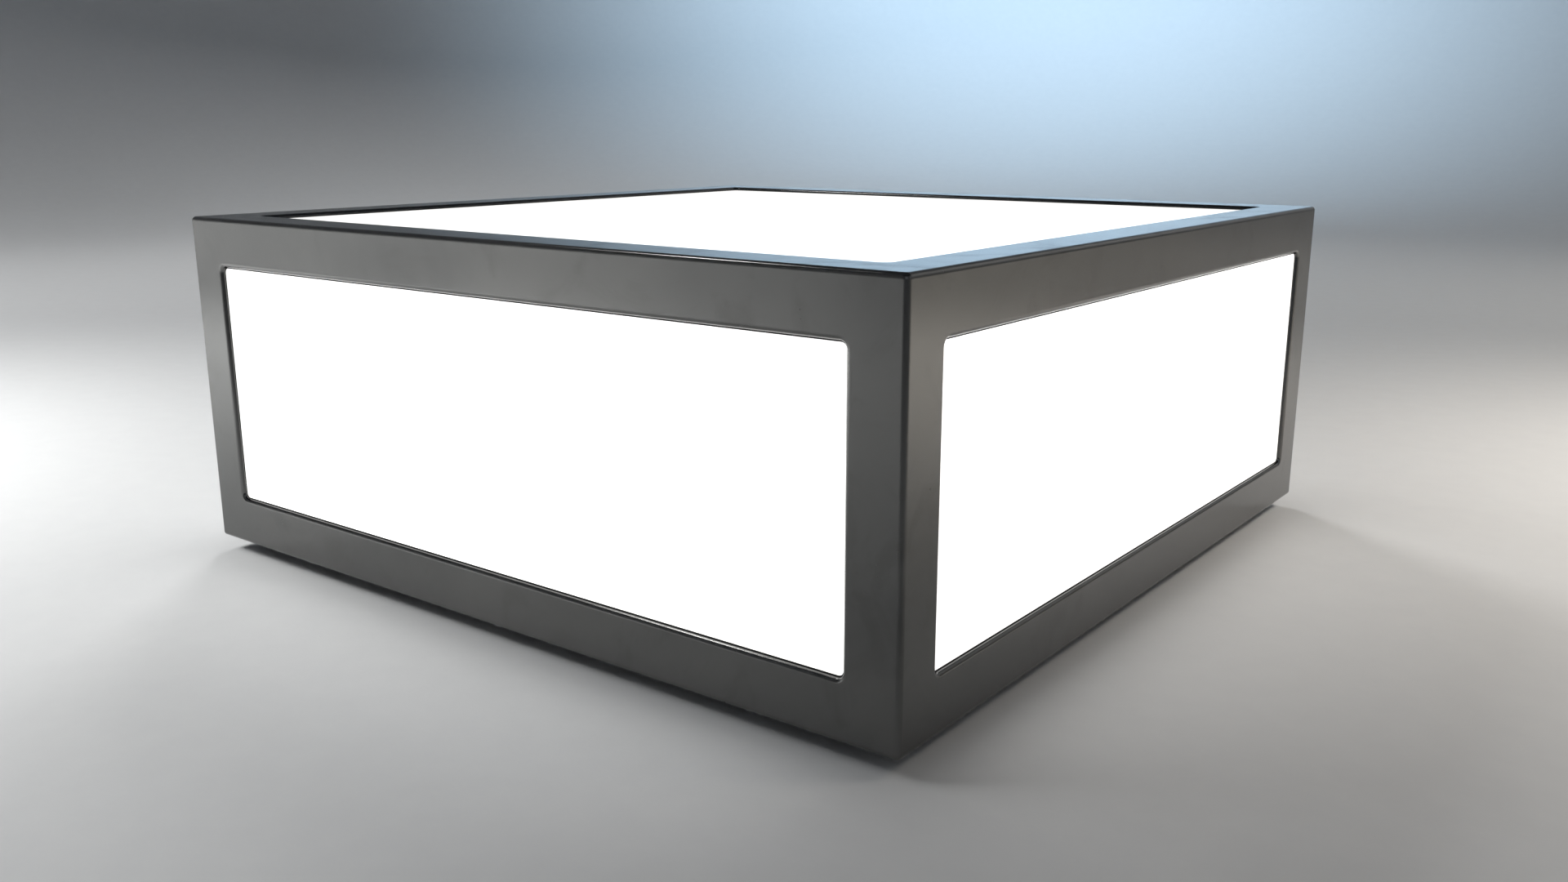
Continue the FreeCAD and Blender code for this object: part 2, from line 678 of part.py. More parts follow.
# ---------------------------------------------------------------- base plate and feet
base = new_body("base_plate")
bw = side - 2 * P["basein"]
basez = footht - P["basethk"]
pad(base, "plate", rounded_rect(base, "plate_plan", "XY_Plane", bw, bw, 6, (0, 0, basez)), P["basethk"])
pocket(base, "screw_holes", circles(base, "screw_holes_plan", "XY_Plane", base_screw_at, 2.2, (0, 0, basez - 1)), 4, True)
fi = h - P["footin"].value
foot_at = [(x, y) for x in (-fi, fi) for y in (-fi, fi)]
pocket(base, "foot_holes", circles(base, "foot_holes_plan", "XY_Plane", foot_at, 2.7, (0, 0, basez - 1)), 4, True)
# ventilation slots in two rows on either side of the carrier
vents = [(x, y) for y in (-205.0, 205.0) for x in (-150.0, -110.0, -70.0, -30.0, 30.0, 70.0, 110.0, 150.0)]
for n, (x, y) in enumerate(vents):
    pocket(base, "vent_%d" % n, rounded_rect(base, "vent_%d_plan" % n, "XY_Plane", 28, 4, 1.9, (x, y, basez - 1)), 4, True)
ci = P["carrier"].value / 2 + 8
carrier_screw_at = [(x, y) for y in (-ci, ci) for x in (-100.0, 100.0)] + [(x, y) for x in (-ci, ci) for y in (-100.0, 100.0)]
driver_screw_at = [(-80.5, 46.0), (80.5, 46.0)]
pocket(base, "carrier_holes", circles(base, "carrier_holes_plan", "XY_Plane", carrier_screw_at + driver_screw_at, 1.75, (0, 0, basez - 1)), 4, True)

UP, DOWN = V(0, 0, 1), V(0, 0, -1)
m4 = screw("m4", 2.0, 7.0, 4.0, 2.4)
bz = basez.value
group("base_screws", [(m4, V(x, y, bz), DOWN, 17 * n) for n, (x, y) in enumerate(base_screw_at)])
rivet = cut(
    "rivet_piece",
    fuse("rivet_whole", cyl("rivet_sleeve", (0, 0, 0), 3, 5.5), cyl("rivet_bulge", (0, 0, wall), 4, 2.2)),
    cyl("rivet_bore", (0, 0, -1), 2.0, 8),
)
group("rivet_nuts", [(rivet, V(x, y, footht.value), UP, 0) for x, y in base_screw_at])

fr = P["footdia"].value / 2
foot_cone = doc.addObject("Part::Cone", "foot_cone")
foot_cone.Radius1, foot_cone.Radius2 = fr - 2.5, fr
bind(foot_cone, "Radius1", P["footdia"] / 2 - 2.5)
bind(foot_cone, "Radius2", P["footdia"] / 2)
bind(foot_cone, "Height", basez)
foot_soft = rounded("foot_soft", foot_cone, 1.2, lambda e: all(abs(v.Point.z) < 1e-6 for v in e.Vertexes) and e.Closed)
foot_pocket = cyl("foot_pocket", (0, 0, -1), 9, 5.5)
foot = cut("foot_piece", foot_soft, fuse("foot_hollow", foot_pocket, cyl("foot_bore", (0, 0, 0), 2.6, 12)))
group("rubber_feet", [(foot, V(x, y, 0), UP, 0) for x, y in foot_at])
washer = cut("washer_piece", cyl("washer_disc", (0, 0, 3.5), 7.5, 1), cyl("washer_bore", (0, 0, 3), 2.65, 2))
group("foot_washers", [(washer, V(x, y, 0), UP, 0) for x, y in foot_at])
m5 = screw("m5", 2.5, 11.5, 4.5, 2.6)
group("foot_screws", [(m5, V(x, y, 3.5), DOWN, 31 * n) for n, (x, y) in enumerate(foot_at)])
m5nut = ring_nut("m5", 8.0, 4.0, 2.5)
group("foot_nuts", [(m5nut, V(x, y, footht.value), UP, 9 * n) for n, (x, y) in enumerate(foot_at)])

# ---------------------------------------------------------------- LED carrier
cs, ct, cht = P["carrier"], P["carrierthk"], P["carrierht"]
car = new_body("led_carrier")
pad(car, "tower", rounded_rect(car, "tower_plan", "XY_Plane", cs, cs, 3, (0, 0, footht)), cht)
pad(car, "flange", rounded_rect(car, "flange_plan", "XY_Plane", cs + 2 * P["carrierlip"], cs + 2 * P["carrierlip"], 4, (0, 0, footht)), ct)
fillet(car, "top_bend", 2.5, lambda e: all(abs(v.Point.z - (footht + cht).value) < 1e-4 for v in e.Vertexes))
pocket(car, "inside", rounded_rect(car, "inside_plan", "XY_Plane", cs - 2 * ct, cs - 2 * ct, 1.5, (0, 0, footht - 1)), cht - ct + 1, True)
pocket(car, "flange_holes", circles(car, "flange_holes_plan", "XY_Plane", carrier_screw_at, 2.1, (0, 0, footht - 1)), 4, True)
lead_z = footht.value + 22
pocket(car, "grommet_hole", circles(car, "grommet_hole_sketch", "YZ_Plane", [(0.0, lead_z)], 8, (0, 0, -cs / 2 - 2)), 6, True)
board_holes_x = (-132.0, 0.0, 132.0)
board_up, board_rows = 50.0, (-95.0, 0.0, 95.0)
for name, role, z0 in (
    ("front", "XZ_Plane", cs / 2 + 1),
    ("rear", "XZ_Plane", 0 - cs / 2 + ct + 1),
    ("right", "YZ_Plane", cs / 2 + 1),
    ("left", "YZ_Plane", 0 - cs / 2 + ct + 1),
):
    pocket(
        car,
        name + "_board_holes",
        circles(car, name + "_board_holes_sketch", role, [(x, footht.value + board_up) for x in board_holes_x], 1.5, (0, 0, z0)),
        ct + 2,
    )
pocket(
    car,
    "top_board_holes",
    circles(car, "top_board_holes_sketch", "XY_Plane", [(x, y) for x in board_holes_x for y in board_rows], 1.5, (0, 0, footht + cht + 1)),
    ct + 2,
)
lead_x, lead_y = 125.0, 45.0
pocket(car, "lead_hole", circles(car, "lead_hole_plan", "XY_Plane", [(lead_x, lead_y)], 5, (0, 0, footht + cht - 4)), 8, True)
st = screw("st", 1.75, 5.5, 3.6, 2.2)
cz = (footht + ct).value
group("carrier_screws", [(st, V(x, y, cz), UP, 23 * n) for n, (x, y) in enumerate(carrier_screw_at)])

# LED boards: one on each side of the carrier and three across its top.
bl, bwid, bt = P["boardlen"], P["boardwid"], P["boardthk"]
board = box("board_blank", (-bl / 2, -bwid / 2, 0), (bl, bwid, bt))
board_hole = [cyl("board_hole_%d" % n, (x, 0, -1), 1.6, 4) for n, x in enumerate(board_holes_x)]
board_cut = cut("board_piece", board, fuse("board_holes", *board_hole))
doc.recompute()
chalf = cs.value / 2
bzc = footht.value + board_up
sides = [(V(0, -chalf, bzc), V(0, -1, 0)), (V(0, chalf, bzc), V(0, 1, 0)), (V(-chalf, 0, bzc), V(-1, 0, 0)), (V(chalf, 0, bzc), V(1, 0, 0))]
tops = [V(0, y, (footht + cht).value) for y in board_rows]


def side_frame(normal):
    """Turns a board so that its length is level and its lit face looks outwards."""
    z = normal
    x = V(0, 0, 1).cross(z)
    return FreeCAD.Rotation(x, z.cross(x), z, "ZXY")


def place_on(obj, at, rot):
    return (obj, at, rot)


def group_at(label, placed):
    links = []
    for n, (obj, at, rot) in enumerate(placed):
        link = doc.addObject("App::Link", "%s_%d" % (label, n))
        link.LinkedObject = obj
        link.LinkPlacement = FreeCAD.Placement(at, rot)
        links.append(link)
    o = doc.addObject("Part::Compound", label)
    o.Label = label
    o.Links = links
    return o


flat = FreeCAD.Rotation()
group_at("side_led_boards", [(board_cut, p, side_frame(n)) for p, n in sides])
group_at("top_led_boards", [(board_cut, p, flat) for p in tops])
chip_box = box("chip_blank", (-1.75, -1.4, bt), (3.5, 2.8, 0.8))
chip_dome = cyl("chip_eye", (0, 0, bt.value + 0.8), 1.2, 0.2)
chip = fuse("chip_piece", chip_box, chip_dome)
ball = doc.addObject("Part::Sphere", "lens_ball")
bind(ball, "Radius", P["lensrad"] + 0.5)
ball.Placement.Base = V(0, 0, bt.value - 0.6)
lens_solid = common("lens_whole", ball, cyl("lens_rim", (0, 0, bt), P["lensrad"], 9))
lens = cut("lens_piece", lens_solid, cyl("lens_recess", (0, 0, bt.value - 1), 2.6, 2.6))
led_x = [-112.0, -80.0, -48.0, -16.0, 16.0, 48.0, 80.0, 112.0]
frames = [(p, side_frame(n)) for p, n in sides] + [(p, flat) for p in tops]
spots = [(p + r.multVec(V(x, 0, 0)), r) for p, r in frames for x in led_x]
group_at("led_chips", [(chip, p, r) for p, r in spots])
group_at("led_lenses", [(lens, p, r) for p, r in spots])
m3 = screw("m3s", 1.5, 3.1, 2.75, 1.8)
group_at("board_screws", [(m3, p + r.multVec(V(x, 0, bt.value)), r) for p, r in frames for x in board_holes_x])

# ---------------------------------------------------------------- driver, terminals, earth
dx, dy, dlen, dwid, dht = -75.0, 25.0, 150.0, 42.0, 31.0
fz = footht.value
case = rounded(
    "driver_case", box("driver_block", (dx, dy, fz), (dlen, dwid, dht)), 2.5,
    lambda e: not all(abs(v.Point.z - fz) < 1e-6 for v in e.Vertexes),
)
ears = box("driver_ears", (dx - 10, dy + 12, fz), (dlen + 20, 18, 2))
ear_holes = [cyl("ear_hole_%d" % n, (x, dy + 21, fz - 1), 2.1, 5) for n, x in enumerate((dx - 5.5, dx + dlen + 5.5))]
fuse_case = fuse("driver_whole", case, ears)
cut("led_driver", fuse_case, fuse("ear_holes", *ear_holes))
group("driver_screws", [(st, V(x, dy + 21, fz + 2), UP, 40 * n) for n, x in enumerate((dx - 5.5, dx + dlen + 5.5))])
tx, ty = -112.0, -32.0
tb = box("terminal_blank", (tx, ty, fz), (18, 44, 15))
tb_wells = [cyl("terminal_well_%d" % n, (tx + ox, ty + 8 + 14 * k, fz + 9), 2.6, 8) for n, (ox, k) in enumerate([(4.5, 0), (4.5, 1), (4.5, 2), (13.5, 0), (13.5, 1), (13.5, 2)])]
tb_ports = [cyl("terminal_port_%d" % k, (tx - 1, ty + 8 + 14 * k, fz + 4.5), 1.9, 20, V(1, 0, 0)) for k in range(3)]
tb_slots = [box("terminal_slot_%d" % k, (tx - 1, ty + 14.2 + 14 * k, fz + 10), (20, 1.6, 6)) for k in range(2)]
cut("terminal_block", tb, fuse("terminal_voids", *tb_wells, *tb_ports, *tb_slots))
tscrew = cut("tscrew_piece", cyl("tscrew_blank", (0, 0, 0), 2.5, 4), box("tscrew_slot", (-3, -0.4, 3), (6, 0.8, 2)))
group("terminal_screws", [(tscrew, V(tx + ox, ty + 8 + 14 * k, fz + 9), UP, 35 * (k + 1) + ox) for ox in (4.5, 13.5) for k in range(3)])
ex0, ey0 = -118.0, 60.0
cyl("earth_stud", (ex0, ey0, fz), 2.5, 16).Label = "earth_stud"
lug = cut("lug_ring", cyl("lug_disc", (ex0, ey0, fz + 4), 5.5, 1), cyl("lug_bore", (ex0, ey0, fz + 3), 2.5, 3))
group("earth_nuts", [(m5nut, V(ex0, ey0, fz), UP, 5), (m5nut, V(ex0, ey0, fz + 5), UP, 20)])
lug_tail = box("lug_tail", (ex0 - 15, ey0 - 2, fz + 4), (11, 4, 1))
lug_trim = cut("lug_trim", lug_tail, cyl("lug_trim_bore", (ex0, ey0, fz + 3), 2.5, 3))
fuse("earth_lug", lug, lug_trim)

# ---------------------------------------------------------------- inlet and switch, left side
ly, lz = P["inlety"].value, (floor0 + P["inletup"]).value
xo = -h
collar = rounded("inlet_collar", box("inlet_collar_blank", (xo - 1.6, ly - 15.3, lz - 11.8), (1.6, 30.6, 23.6)), 0.9,
    lambda e: all(v.Point.x < xo - 1.5 for v in e.Vertexes))
shoe = box("inlet_shoe", (xo, ly - 13.5, lz - 9.9), (24, 27, 19.8))
mouth = rounded("inlet_mouth", box("inlet_mouth_blank", (xo - 3, ly - 12.1, lz - 8.4), (21, 24.2, 16.8)), 3.0,
    lambda e: all(v.Point.z > lz for v in e.Vertexes) and abs(e.Vertexes[0].Point.x - e.Vertexes[-1].Point.x) > 1)
pin_at = [(ly - 7.0, lz - 2.0), (ly, lz + 2.0), (ly + 7.0, lz - 2.0)]
blades = [box("blade_%d" % n, (xo + 2.5, y - 1.0, z - 2.0), (27.5, 2.0, 4.0)) for n, (y, z) in enumerate(pin_at)]
inlet_whole = fuse("inlet_whole", collar, shoe)
inlet_open = cut("inlet_open", inlet_whole, mouth)
cut("inlet_socket", inlet_open, fuse("blade_slots", *blades))
inlet_pins = doc.addObject("Part::Compound", "inlet_pins")
inlet_pins.Links = blades

sy = P["switchy"].value
bezel = rounded("switch_bezel", box("switch_bezel_blank", (xo - 1.2, sy - 10.5, lz - 7.5), (1.2, 21, 15)), 0.7,
    lambda e: all(v.Point.x < xo - 1.1 for v in e.Vertexes))
sbody = box("switch_box", (xo, sy - 9.45, lz - 6.35), (17, 18.9, 12.7))
scav = box("switch_well", (xo - 3, sy - 8.5, lz - 5.3), (11, 17, 10.6))
axle_r = 1.0
trunnion = cyl("switch_trunnion_bore", (xo, sy, lz - 6.0), axle_r + 0.05, 12.0)
tab_at = [(sy - 5.0, lz), (sy + 5.0, lz)]
tabs = [box("switch_tab_%d" % n, (xo + 15, y - 0.4, z - 2.4), (10, 0.8, 4.8)) for n, (y, z) in enumerate(tab_at)]
cut("switch_body", cut("switch_hollow", fuse("switch_whole", bezel, sbody), fuse("switch_voids", scav, trunnion)), fuse("tab_slots", *tabs))
switch_tabs = doc.addObject("Part::Compound", "switch_tabs")
switch_tabs.Links = tabs
# Rocker: drawn level, then tipped to its ON side about its axle.
rk = new_body("switch_rocker")
sk = new_sketch(rk, "profile", "XY_Plane", (0, 0, -5.1))
prof = [(-2.0, -8.0), (-1.2, 0.0), (-2.0, 8.0), (0.5, 8.0), (3.6, 5.0), (3.6, -5.0), (0.5, -8.0)]
for n in range(len(prof)):
    a, b = prof[n], prof[(n + 1) % len(prof)]
    sk.addGeometry(Part.LineSegment(V(a[0], a[1], 0), V(b[0], b[1], 0)), False)
for n in range(len(prof)):
    sk.addConstraint(Sketcher.Constraint("Coincident", n, 2, (n + 1) % len(prof), 1))
pad(rk, "paddle", sk, 10.2)
fillet(rk, "paddle_edges", 0.5, lambda e: all(v.Point.x < -1.0 for v in e.Vertexes))
pad(rk, "axle", circles(rk, "axle_section", "XY_Plane", [(0.0, 0.0)], axle_r, (0, 0, -5.9)), 11.8)
rk.Placement = FreeCAD.Placement(V(xo, sy, lz), FreeCAD.Rotation(V(0, 0, 1), 9))

# ---------------------------------------------------------------- leads
grom = cut("grommet_ring", fuse("grommet_whole", cyl("grommet_sleeve", (-chalf - 1.5, 0, lead_z), 8, 4.5, V(1, 0, 0)), cyl("grommet_a", (-chalf - 2, 0, lead_z), 10, 2, V(1, 0, 0)), cyl("grommet_b", (-chalf + ct.value, 0, lead_z), 10, 2, V(1, 0, 0))), cyl("grommet_bore", (-chalf - 4, 0, lead_z), 5.5, 10, V(1, 0, 0)))
grom.Label = "grommet"
r = 1.3
xt = -h + 30
mains = [
    # live: inlet to the switch
    tube([(xt, ly - 7, lz - 2), (-258, ly - 7, lz - 2), (-248, ly - 22, 22), (-247, 170, 22), (-252, 147, 24), (-262, sy + 5, lz), (xo + 25, sy + 5, lz)], r),
    # switched live: switch to the terminal block
    tube([(xo + 25, sy - 5, lz), (-262, sy - 5, lz), (-240, sy - 16, 16), (-220, 104, 12), (-206, 94, 12), (-206, 60, 12), (-200, 30, 14), (-186, 4, 24), (-168, -2.8, lead_z - 1), (-142, -2.8, lead_z - 1), (-130, -6, 22), (-122, ty + 22, fz + 4.5), (tx, ty + 22, fz + 4.5)], r),
    # neutral: inlet to the terminal block
    tube([(xt, ly + 7, lz - 2), (-246, ly + 7, lz - 2), (-228, ly - 10, 20), (-212, 190, 14), (-200, 164, 12), (-200, 60, 12), (-194, 34, 15), (-180, 8, 28), (-164, 0, lead_z + 3.2), (-144, 0, lead_z + 3.2), (-131, 3, 26), (-124, ty + 36, fz + 4.5), (tx, ty + 36, fz + 4.5)], r),
    # earth: inlet to the earth stud
    tube([(xt, ly, lz + 2), (-238, ly, lz + 2), (-218, ly - 16, 22), (-202, 190, 14), (-194, 164, 12), (-194, 60, 12), (-186, 36, 14), (-174, 12, 26), (-160, 2.8, lead_z - 1), (-144, 2.8, lead_z - 1), (-137, 14, 27), (-141, 38, 17), (ex0 - 24, ey0 - 8, fz + 5.8), (ex0 - 15, ey0, fz + 4.5 + 1.8)], r),
]
dcx = dx + dlen
led = []
for k in range(2):
    wx, wy = lead_x - 1.8 + 3.6 * k, dy + 14 + 14 * k
    led.append(
        tube(
            [
                (dcx, wy, fz + 16), (dcx + 16, wy, fz + 16), (lead_x - 13 + 4 * k, lead_y - 2 + 5 * k, fz + 30), (wx, lead_y, fz + 60),
                (wx, lead_y, fz + cht.value + 3), (wx, lead_y - 9, fz + cht.value + 9), (wx, 18.0, fz + cht.value + 5), (wx, 7.5, fz + cht.value + bt.value + 0.9),
            ],
            0.9,
        )
    )
# Nylon saddles that hold the mains leads down on the base plate.
saddles = [
    cut("saddle_%d" % n, box("saddle_blank_%d" % n, (-211, y, fz), (22, 8, 5.5)), box("saddle_gap_%d" % n, (-208, y - 1, fz), (16, 10, 3.6)))
    for n, y in enumerate((71.0, 136.0))
]
lead_clips = doc.addObject("Part::Compound", "lead_clips")
lead_clips.Links = saddles
inner_leads = doc.addObject("Part::Feature", "inner_leads")
inner_leads.Label = "inner_leads"
inner_leads.Shape = Part.makeCompound(mains + led)

doc.recompute()

NODES = (
    ["top_ring", "corner_posts", "bottom_ring"]
    + [f + "_diffuser" for f in PANELS + ["rear"]]
    + [f + "_gasket" for f in PANELS + ["rear"]]
    + [f + "_clamp_frame" for f in PANELS + ["rear"]]
    + ["weld_studs", "clamp_nuts", "door_frame", "door_studs", "door_clamp_nuts", "hinge_pins", "hinge_bushes", "door_seal"]
    + ["latch_bushes", "upper_latch_core", "upper_latch_cam", "lower_latch_core", "lower_latch_cam"]
    + ["base_plate", "base_screws", "rivet_nuts", "rubber_feet", "foot_washers", "foot_screws", "foot_nuts"]
    + ["led_carrier", "carrier_screws", "side_led_boards", "top_led_boards", "led_chips", "led_lenses", "board_screws"]
    + ["led_driver", "driver_screws", "terminal_block", "terminal_screws", "earth_stud", "earth_nuts", "earth_lug"]
    + ["inlet_socket", "inlet_pins", "switch_body", "switch_tabs", "switch_rocker", "inner_leads", "lead_clips", "grommet"]
)
bad = []
for o in doc.Objects:
    if "Invalid" in o.State or "Error" in o.State:
        bad.append("%s (%s): %s" % (o.Name, o.Label, o.State))
for node in NODES:
    found = [o for o in doc.Objects if o.Label == node]
    if len(found) != 1:
        bad.append("%s: %d objects" % (node, len(found)))
        continue
    s = found[0].Shape
    if s.isNull() or not s.isValid() or not s.Solids:
        bad.append("%s: null, invalid or empty shape" % node)
if bad:
    raise SystemExit("\n".join(bad))
for node in NODES:
    o = [q for q in doc.Objects if q.Label == node][0]
    o.Shape.exportStep("parts/%s.step" % node)
    print("%-20s %3d solids %9.1f mm3" % (node, len(o.Shape.Solids), o.Shape.Volume))
print(len(NODES), "nodes")
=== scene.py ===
import json
import math

import bmesh
import bpy
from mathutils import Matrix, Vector
from mathutils.bvhtree import BVHTree


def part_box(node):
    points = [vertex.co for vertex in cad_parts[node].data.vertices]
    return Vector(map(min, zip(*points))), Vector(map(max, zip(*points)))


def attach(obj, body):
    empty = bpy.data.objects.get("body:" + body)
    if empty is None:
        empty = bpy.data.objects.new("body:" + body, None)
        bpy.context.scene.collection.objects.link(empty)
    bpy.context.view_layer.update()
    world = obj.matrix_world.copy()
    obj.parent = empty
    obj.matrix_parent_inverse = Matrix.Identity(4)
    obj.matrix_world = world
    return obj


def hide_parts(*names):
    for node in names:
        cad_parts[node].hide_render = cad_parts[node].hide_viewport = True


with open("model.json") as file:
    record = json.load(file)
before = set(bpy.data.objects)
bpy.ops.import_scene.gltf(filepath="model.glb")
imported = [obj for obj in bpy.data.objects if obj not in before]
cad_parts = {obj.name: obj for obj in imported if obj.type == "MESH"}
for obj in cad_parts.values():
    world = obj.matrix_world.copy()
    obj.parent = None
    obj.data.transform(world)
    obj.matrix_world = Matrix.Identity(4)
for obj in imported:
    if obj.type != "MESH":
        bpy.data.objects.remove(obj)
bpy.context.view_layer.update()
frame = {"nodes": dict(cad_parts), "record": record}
NODES = frame["nodes"]
scene = bpy.context.scene


# ------------------------------------------------------------------ node-tree shorthand
class Tree:
    """A material's node tree, with one call per node."""

    def __init__(self, name):
        self.mat = bpy.data.materials.new(name)
        self.mat.use_nodes = True
        self.t = self.mat.node_tree
        self.t.nodes.clear()
        self.out = self.t.nodes.new("ShaderNodeOutputMaterial")
        self.co = self.t.nodes.new("ShaderNodeTexCoord").outputs["Object"]

    def node(self, kind, **props):
        n = self.t.nodes.new("ShaderNode" + kind)
        for k, v in props.items():
            setattr(n, k, v)
        return n

    def put(self, socket, value):
        if isinstance(value, bpy.types.NodeSocket):
            self.t.links.new(value, socket)
        elif value is not None:
            socket.default_value = value

    def noise(self, scale, detail=4.0, rough=0.55, stretch=None, distort=0.0):
        n = self.node("TexNoise")
        n.inputs["Scale"].default_value = scale
        n.inputs["Detail"].default_value = detail
        n.inputs["Roughness"].default_value = rough
        n.inputs["Distortion"].default_value = distort
        self.put(n.inputs["Vector"], self.stretched(stretch) if stretch else self.co)
        return n.outputs["Fac"]

    def stretched(self, by):
        m = self.node("Mapping")
        m.inputs["Scale"].default_value = by
        self.put(m.inputs["Vector"], self.co)
        return m.outputs["Vector"]

    def voronoi(self, scale, feature="F1", out="Distance"):
        n = self.node("TexVoronoi", feature=feature)
        n.inputs["Scale"].default_value = scale
        self.put(n.inputs["Vector"], self.co)
        return n.outputs[out]

    def ramp(self, fac, lo, hi, v0=0.0, v1=1.0, smooth=True):
        n = self.node("MapRange", interpolation_type="SMOOTHSTEP" if smooth else "LINEAR")
        for k, v in (("From Min", lo), ("From Max", hi), ("To Min", v0), ("To Max", v1)):
            n.inputs[k].default_value = v
        self.put(n.inputs["Value"], fac)
        return n.outputs["Result"]

    def math(self, op, a, b=None):
        n = self.node("Math", operation=op)
        self.put(n.inputs[0], a)
        if b is not None:
            self.put(n.inputs[1], b)
        return n.outputs[0]

    def mix(self, fac, a, b):
        n = self.node("Mix", data_type="RGBA")
        self.put(n.inputs["Factor"], fac)
        self.put(n.inputs["A"], a)
        self.put(n.inputs["B"], b)
        return n.outputs["Result"]

    def blend(self, fac, a, b):
        n = self.node("Mix", data_type="FLOAT")
        self.put(n.inputs["Factor"], fac)
        self.put(n.inputs["A"], a)
        self.put(n.inputs["B"], b)
        return n.outputs["Result"]

    def bump(self, height, strength, distance, under=None):
        n = self.node("Bump")
        n.inputs["Strength"].default_value = strength
        n.inputs["Distance"].default_value = distance
        self.put(n.inputs["Height"], height)
        if under is not None:
            self.put(n.inputs["Normal"], under)
        return n.outputs["Normal"]

    def axis(self, which):
        n = self.node("SeparateXYZ")
        self.put(n.inputs[0], self.co)
        return n.outputs[which]

    def principled(self, **values):
        n = self.node("BsdfPrincipled")
        for k, v in values.items():
            self.put(n.inputs[k.replace("_", " ")], v)
        self.t.links.new(n.outputs[0], self.out.inputs["Surface"])
        return self.mat


def rgb(r, g, b):
    return (r, g, b, 1.0)


# ------------------------------------------------------------------ materials
def black_nickel(name):
    """Ground, polished and plated steel: a dark mirror under a thin haze of handling and fine directional polishing
    lines."""
    t = Tree(name)
    haze = t.ramp(t.noise(3.1, 5.0, 0.6, distort=0.6), 0.38, 0.66)
    smudge = t.ramp(t.noise(17.0, 6.0, 0.62, distort=1.4), 0.50, 0.68)
    grit = t.noise(900.0, 2.0, 0.6)
    speck = t.ramp(t.noise(240.0, 3.0, 0.7), 0.56, 0.72)
    lines = t.noise(60.0, 3.0, 0.7, stretch=(1.0, 1.0, 26.0))
    rough = t.math("ADD", 0.105, t.math("MULTIPLY", haze, 0.06))
    rough = t.math("ADD", rough, t.math("MULTIPLY", smudge, 0.07))
    rough = t.math("ADD", rough, t.math("MULTIPLY", t.math("MULTIPLY", speck, smudge), 0.10))
    rough = t.math("ADD", rough, t.math("MULTIPLY", t.math("SUBTRACT", grit, 0.5), 0.05))
    tone = t.mix(haze, rgb(0.124, 0.124, 0.122), rgb(0.150, 0.149, 0.145))
    tone = t.mix(t.math("MULTIPLY", smudge, 0.35), tone, rgb(0.104, 0.102, 0.098))
    n = t.bump(lines, 0.05, 0.0001)
    n = t.bump(t.noise(7.0, 2.0, 0.4), 0.05, 0.002, n)
    n = t.bump(grit, 0.16, 0.0001, n)
    return t.principled(
        Base_Color=tone, Metallic=1.0, Roughness=rough, Normal=n, Coat_Weight=0.12, Coat_Roughness=0.08
    )


def opal(name, inset_axis=None):
    """Opal acrylic lit from behind: even white with the faintest warmth, glowing fully on its outward face and less on
    its inner faces, under a glossy skin with specks of dust."""
    t = Tree(name)
    cloud = t.noise(2.3, 3.0, 0.5)
    dust = t.ramp(t.voronoi(160.0), 0.03, 0.055, 1.0, 0.0)
    dusty = t.math("MULTIPLY", dust, t.ramp(t.noise(5.0, 2.0, 0.5), 0.52, 0.66))
    base = t.mix(t.math("MULTIPLY", dusty, 0.25), rgb(0.86, 0.86, 0.845), rgb(0.60, 0.58, 0.54))
    glow = t.mix(cloud, rgb(1.0, 0.985, 0.955), rgb(1.0, 0.997, 0.985))
    reach = t.math("MAXIMUM", t.math("ABSOLUTE", t.axis(0)), t.math("ABSOLUTE", t.axis(1)))
    reach = t.math("MAXIMUM", reach, t.math("ADD", t.axis(2), SIDE_HALF - TOP))
    front = t.math("GREATER_THAN", reach, SIDE_HALF - 0.0045)
    power = t.math("ADD", OPAL_POWER, t.math("MULTIPLY", t.math("SUBTRACT", cloud, 0.5), 0.16))
    power = t.math("MULTIPLY", power, t.math("SUBTRACT", 1.0, t.math("MULTIPLY", dusty, 0.03)))
    power = t.math("MULTIPLY", power, t.blend(front, 0.32, 1.0))
    rough = t.math("ADD", 0.11, t.math("MULTIPLY", t.ramp(t.noise(26.0, 4.0, 0.6), 0.45, 0.7), 0.10))
    n = t.bump(t.noise(9.0, 2.0, 0.4), 0.03, 0.002)
    return t.principled(
        Base_Color=base, Roughness=rough, IOR=1.49, Emission_Color=glow, Emission_Strength=power, Normal=n,
        Coat_Weight=0.2, Coat_Roughness=0.05
    )


def zinc(name, tint=(0.64, 0.65, 0.66)):
    t = Tree(name)
    spangle = t.voronoi(420.0, out="Color")
    sep = t.node("SeparateColor")
    t.put(sep.inputs[0], spangle)
    cell = sep.outputs[0]
    blotch = t.ramp(t.noise(22.0, 5.0, 0.6), 0.4, 0.7)
    a = rgb(*tint)
    b = rgb(tint[0] * 0.80, tint[1] * 0.81, tint[2] * 0.84)
    c = t.mix(cell, a, b)
    c = t.mix(t.math("MULTIPLY", blotch, 0.3), c, rgb(tint[0] * 0.7, tint[1] * 0.68, tint[2] * 0.62))
    rough = t.math("ADD", 0.26, t.math("MULTIPLY", cell, 0.14))
    return t.principled(Base_Color=c, Metallic=1.0, Roughness=rough, Normal=t.bump(t.noise(600.0, 3.0, 0.6), 0.12, 0.0001))


